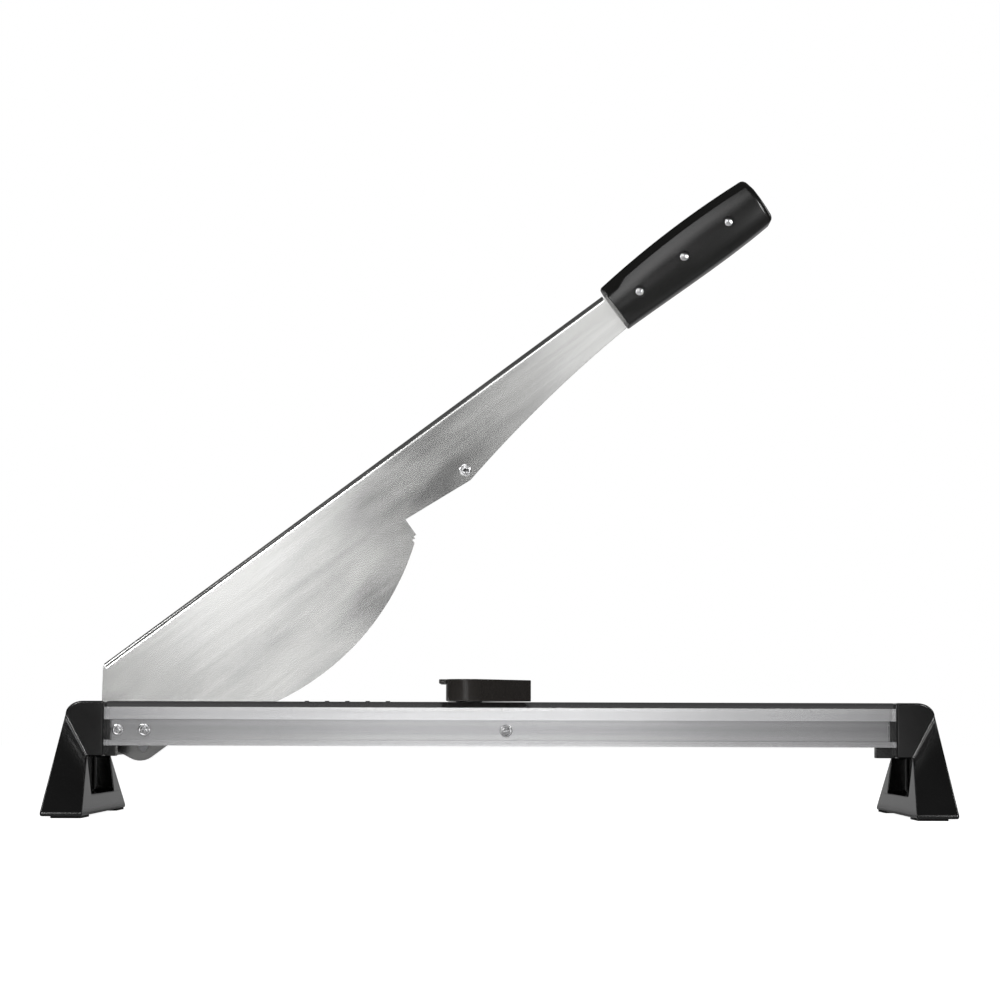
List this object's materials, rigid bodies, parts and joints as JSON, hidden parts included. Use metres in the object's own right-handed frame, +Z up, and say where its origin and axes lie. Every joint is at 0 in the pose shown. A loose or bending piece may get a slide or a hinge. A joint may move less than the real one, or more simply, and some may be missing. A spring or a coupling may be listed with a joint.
{
  "type": "laminate cutter",
  "caption": "Bench cutter with a hinged curved knife that shears a floor plank between two aluminium rails, with a swivel plank stop and black feet.",
  "frame": {"origin": "on the floor under the middle of the two feet", "axes": "+X along the rails from the pivot end to the free end, +Y away from the user at the front, +Z up"},
  "size_m": [0.67, 0.2, 0.4969],
  "materials": {
    "aluminium": "satin mill finish with draw lines",
    "foot_plastic": "moulded black, satin",
    "knife_steel": "brushed sheet steel",
    "screw_steel": "bright zinc plated",
    "rubber": "matt",
    "nylon": "natural nylon, satin",
    "grip_plastic": "moulded black, satin"
  },
  "bodies": {
    "base": {"front_rail": "aluminium", "rear_rail": "aluminium", "left_foot": "foot_plastic", "right_foot": "foot_plastic", "left_foot_pads": "rubber", "right_foot_pads": "rubber", "left_end_screws": "screw_steel", "left_tongue_screws": "screw_steel", "right_tongue_screws": "screw_steel", "pivot_bolt": "screw_steel", "pivot_nut": "screw_steel", "pivot_bush": "screw_steel", "front_slide_washer": "nylon", "rear_slide_washer": "nylon", "tie_bolt": "screw_steel", "tie_spacer": "screw_steel", "tie_nut": "screw_steel", "stop_screw": "screw_steel", "stop_washer": "nylon", "stop_nut": "screw_steel", "rail_studs": "rubber"},
    "knife": {"knife": "knife_steel", "rest_screw": "screw_steel", "rest_nut": "screw_steel", "grip_front": "grip_plastic", "grip_back": "grip_plastic", "grip_screws": "screw_steel", "grip_nuts": "screw_steel"},
    "stop": {"plank_stop": "grip_plastic"}
  },
  "joints": [
    {"name": "knife_pivot", "type": "hinge", "parent": "base", "child": "knife", "pos_m": [-0.269, 0, 0.0643], "axis": [0, -1, 0], "range_deg": [-35, 30]},
    {"name": "stop_swivel", "type": "hinge", "parent": "base", "child": "stop", "pos_m": [-0.0236, -0.02, 0.0864], "axis": [0, 0, 1], "range_deg": [-45, 45]}
  ]
}
